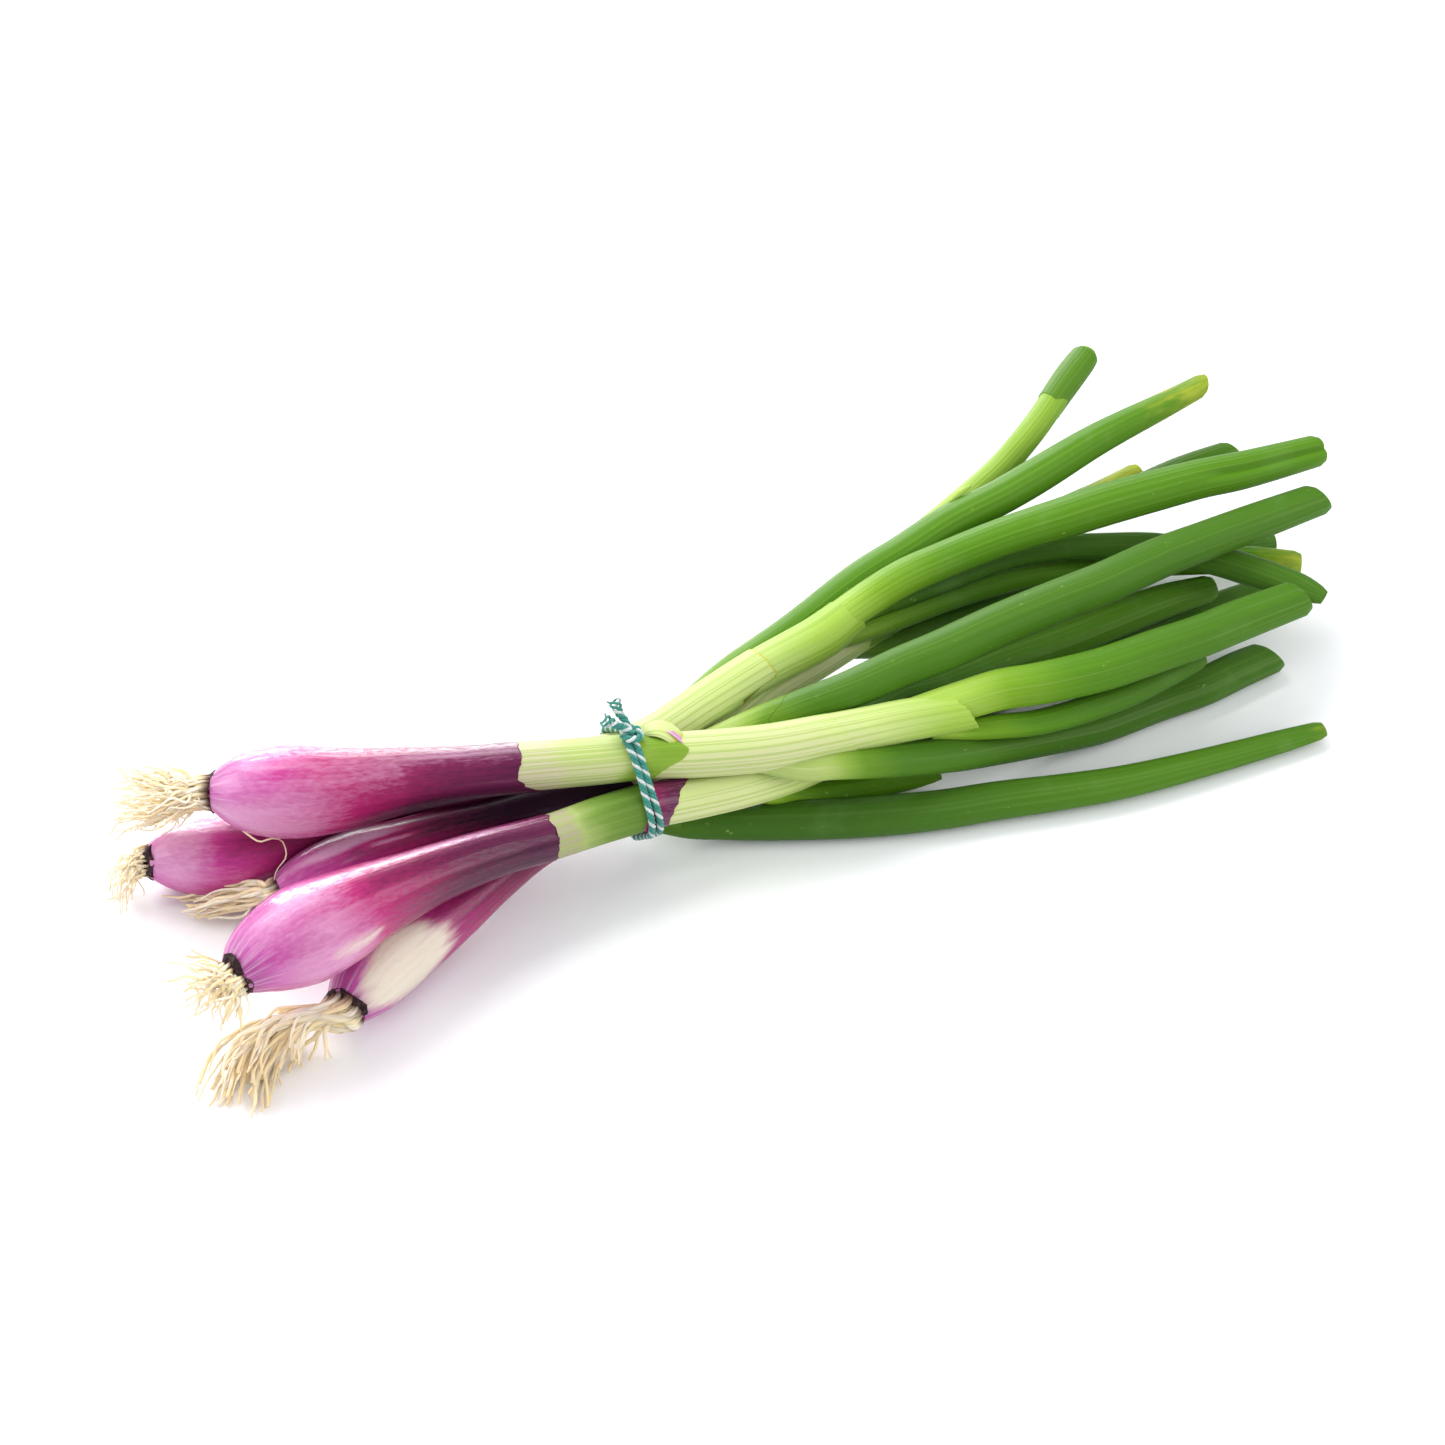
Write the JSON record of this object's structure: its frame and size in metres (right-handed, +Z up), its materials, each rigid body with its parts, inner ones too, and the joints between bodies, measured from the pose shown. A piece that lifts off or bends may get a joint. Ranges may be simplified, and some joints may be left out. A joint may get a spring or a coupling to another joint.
{
  "type": "spring onion bunch",
  "caption": "Bunch of red spring onions with trimmed hollow green leaves and straw-coloured roots, held by a knotted two-tone twine and lying on its side.",
  "frame": {"origin": "centre of the bounding box on the surface the bunch lies on", "axes": "+X along the bunch from the roots to the leaf tips, +Z up"},
  "size_m": [0.414, 0.1548, 0.0567],
  "materials": {
    "bulb_skin": "shiny magenta-purple onion skin",
    "pale_stem": "smooth cream stem with fine green lines",
    "green_leaf": "waxy mid-green hollow leaf",
    "roots": "dry straw-coloured rootlets on a dark crust",
    "twine": "twisted teal and white twine"
  },
  "bodies": {
    "root": {"onion_a_bulb": "bulb_skin", "onion_b_bulb": "bulb_skin", "onion_c_bulb": "bulb_skin", "onion_d_bulb": "bulb_skin", "onion_e_bulb": "bulb_skin", "onion_a_stem": "pale_stem", "onion_b_stem": "pale_stem", "onion_c_stem": "pale_stem", "onion_d_stem": "pale_stem", "onion_e_stem": "pale_stem", "onion_a_leaf_1": "green_leaf", "onion_a_leaf_2": "green_leaf", "onion_a_leaf_3": "green_leaf", "onion_b_leaf_1": "green_leaf", "onion_b_leaf_2": "green_leaf", "onion_b_leaf_3": "green_leaf", "onion_b_leaf_4": "green_leaf", "onion_b_leaf_5": "green_leaf", "onion_b_leaf_6": "green_leaf", "onion_c_leaf_1": "green_leaf", "onion_c_leaf_2": "green_leaf", "onion_c_leaf_3": "green_leaf", "onion_d_leaf_1": "green_leaf", "onion_d_leaf_2": "green_leaf", "onion_d_leaf_3": "green_leaf", "onion_e_leaf_1": "green_leaf", "onion_a_roots": "roots", "onion_b_roots": "roots", "onion_c_roots": "roots", "onion_d_roots": "roots", "onion_e_roots": "roots", "twine": "twine"}
  },
  "joints": []
}
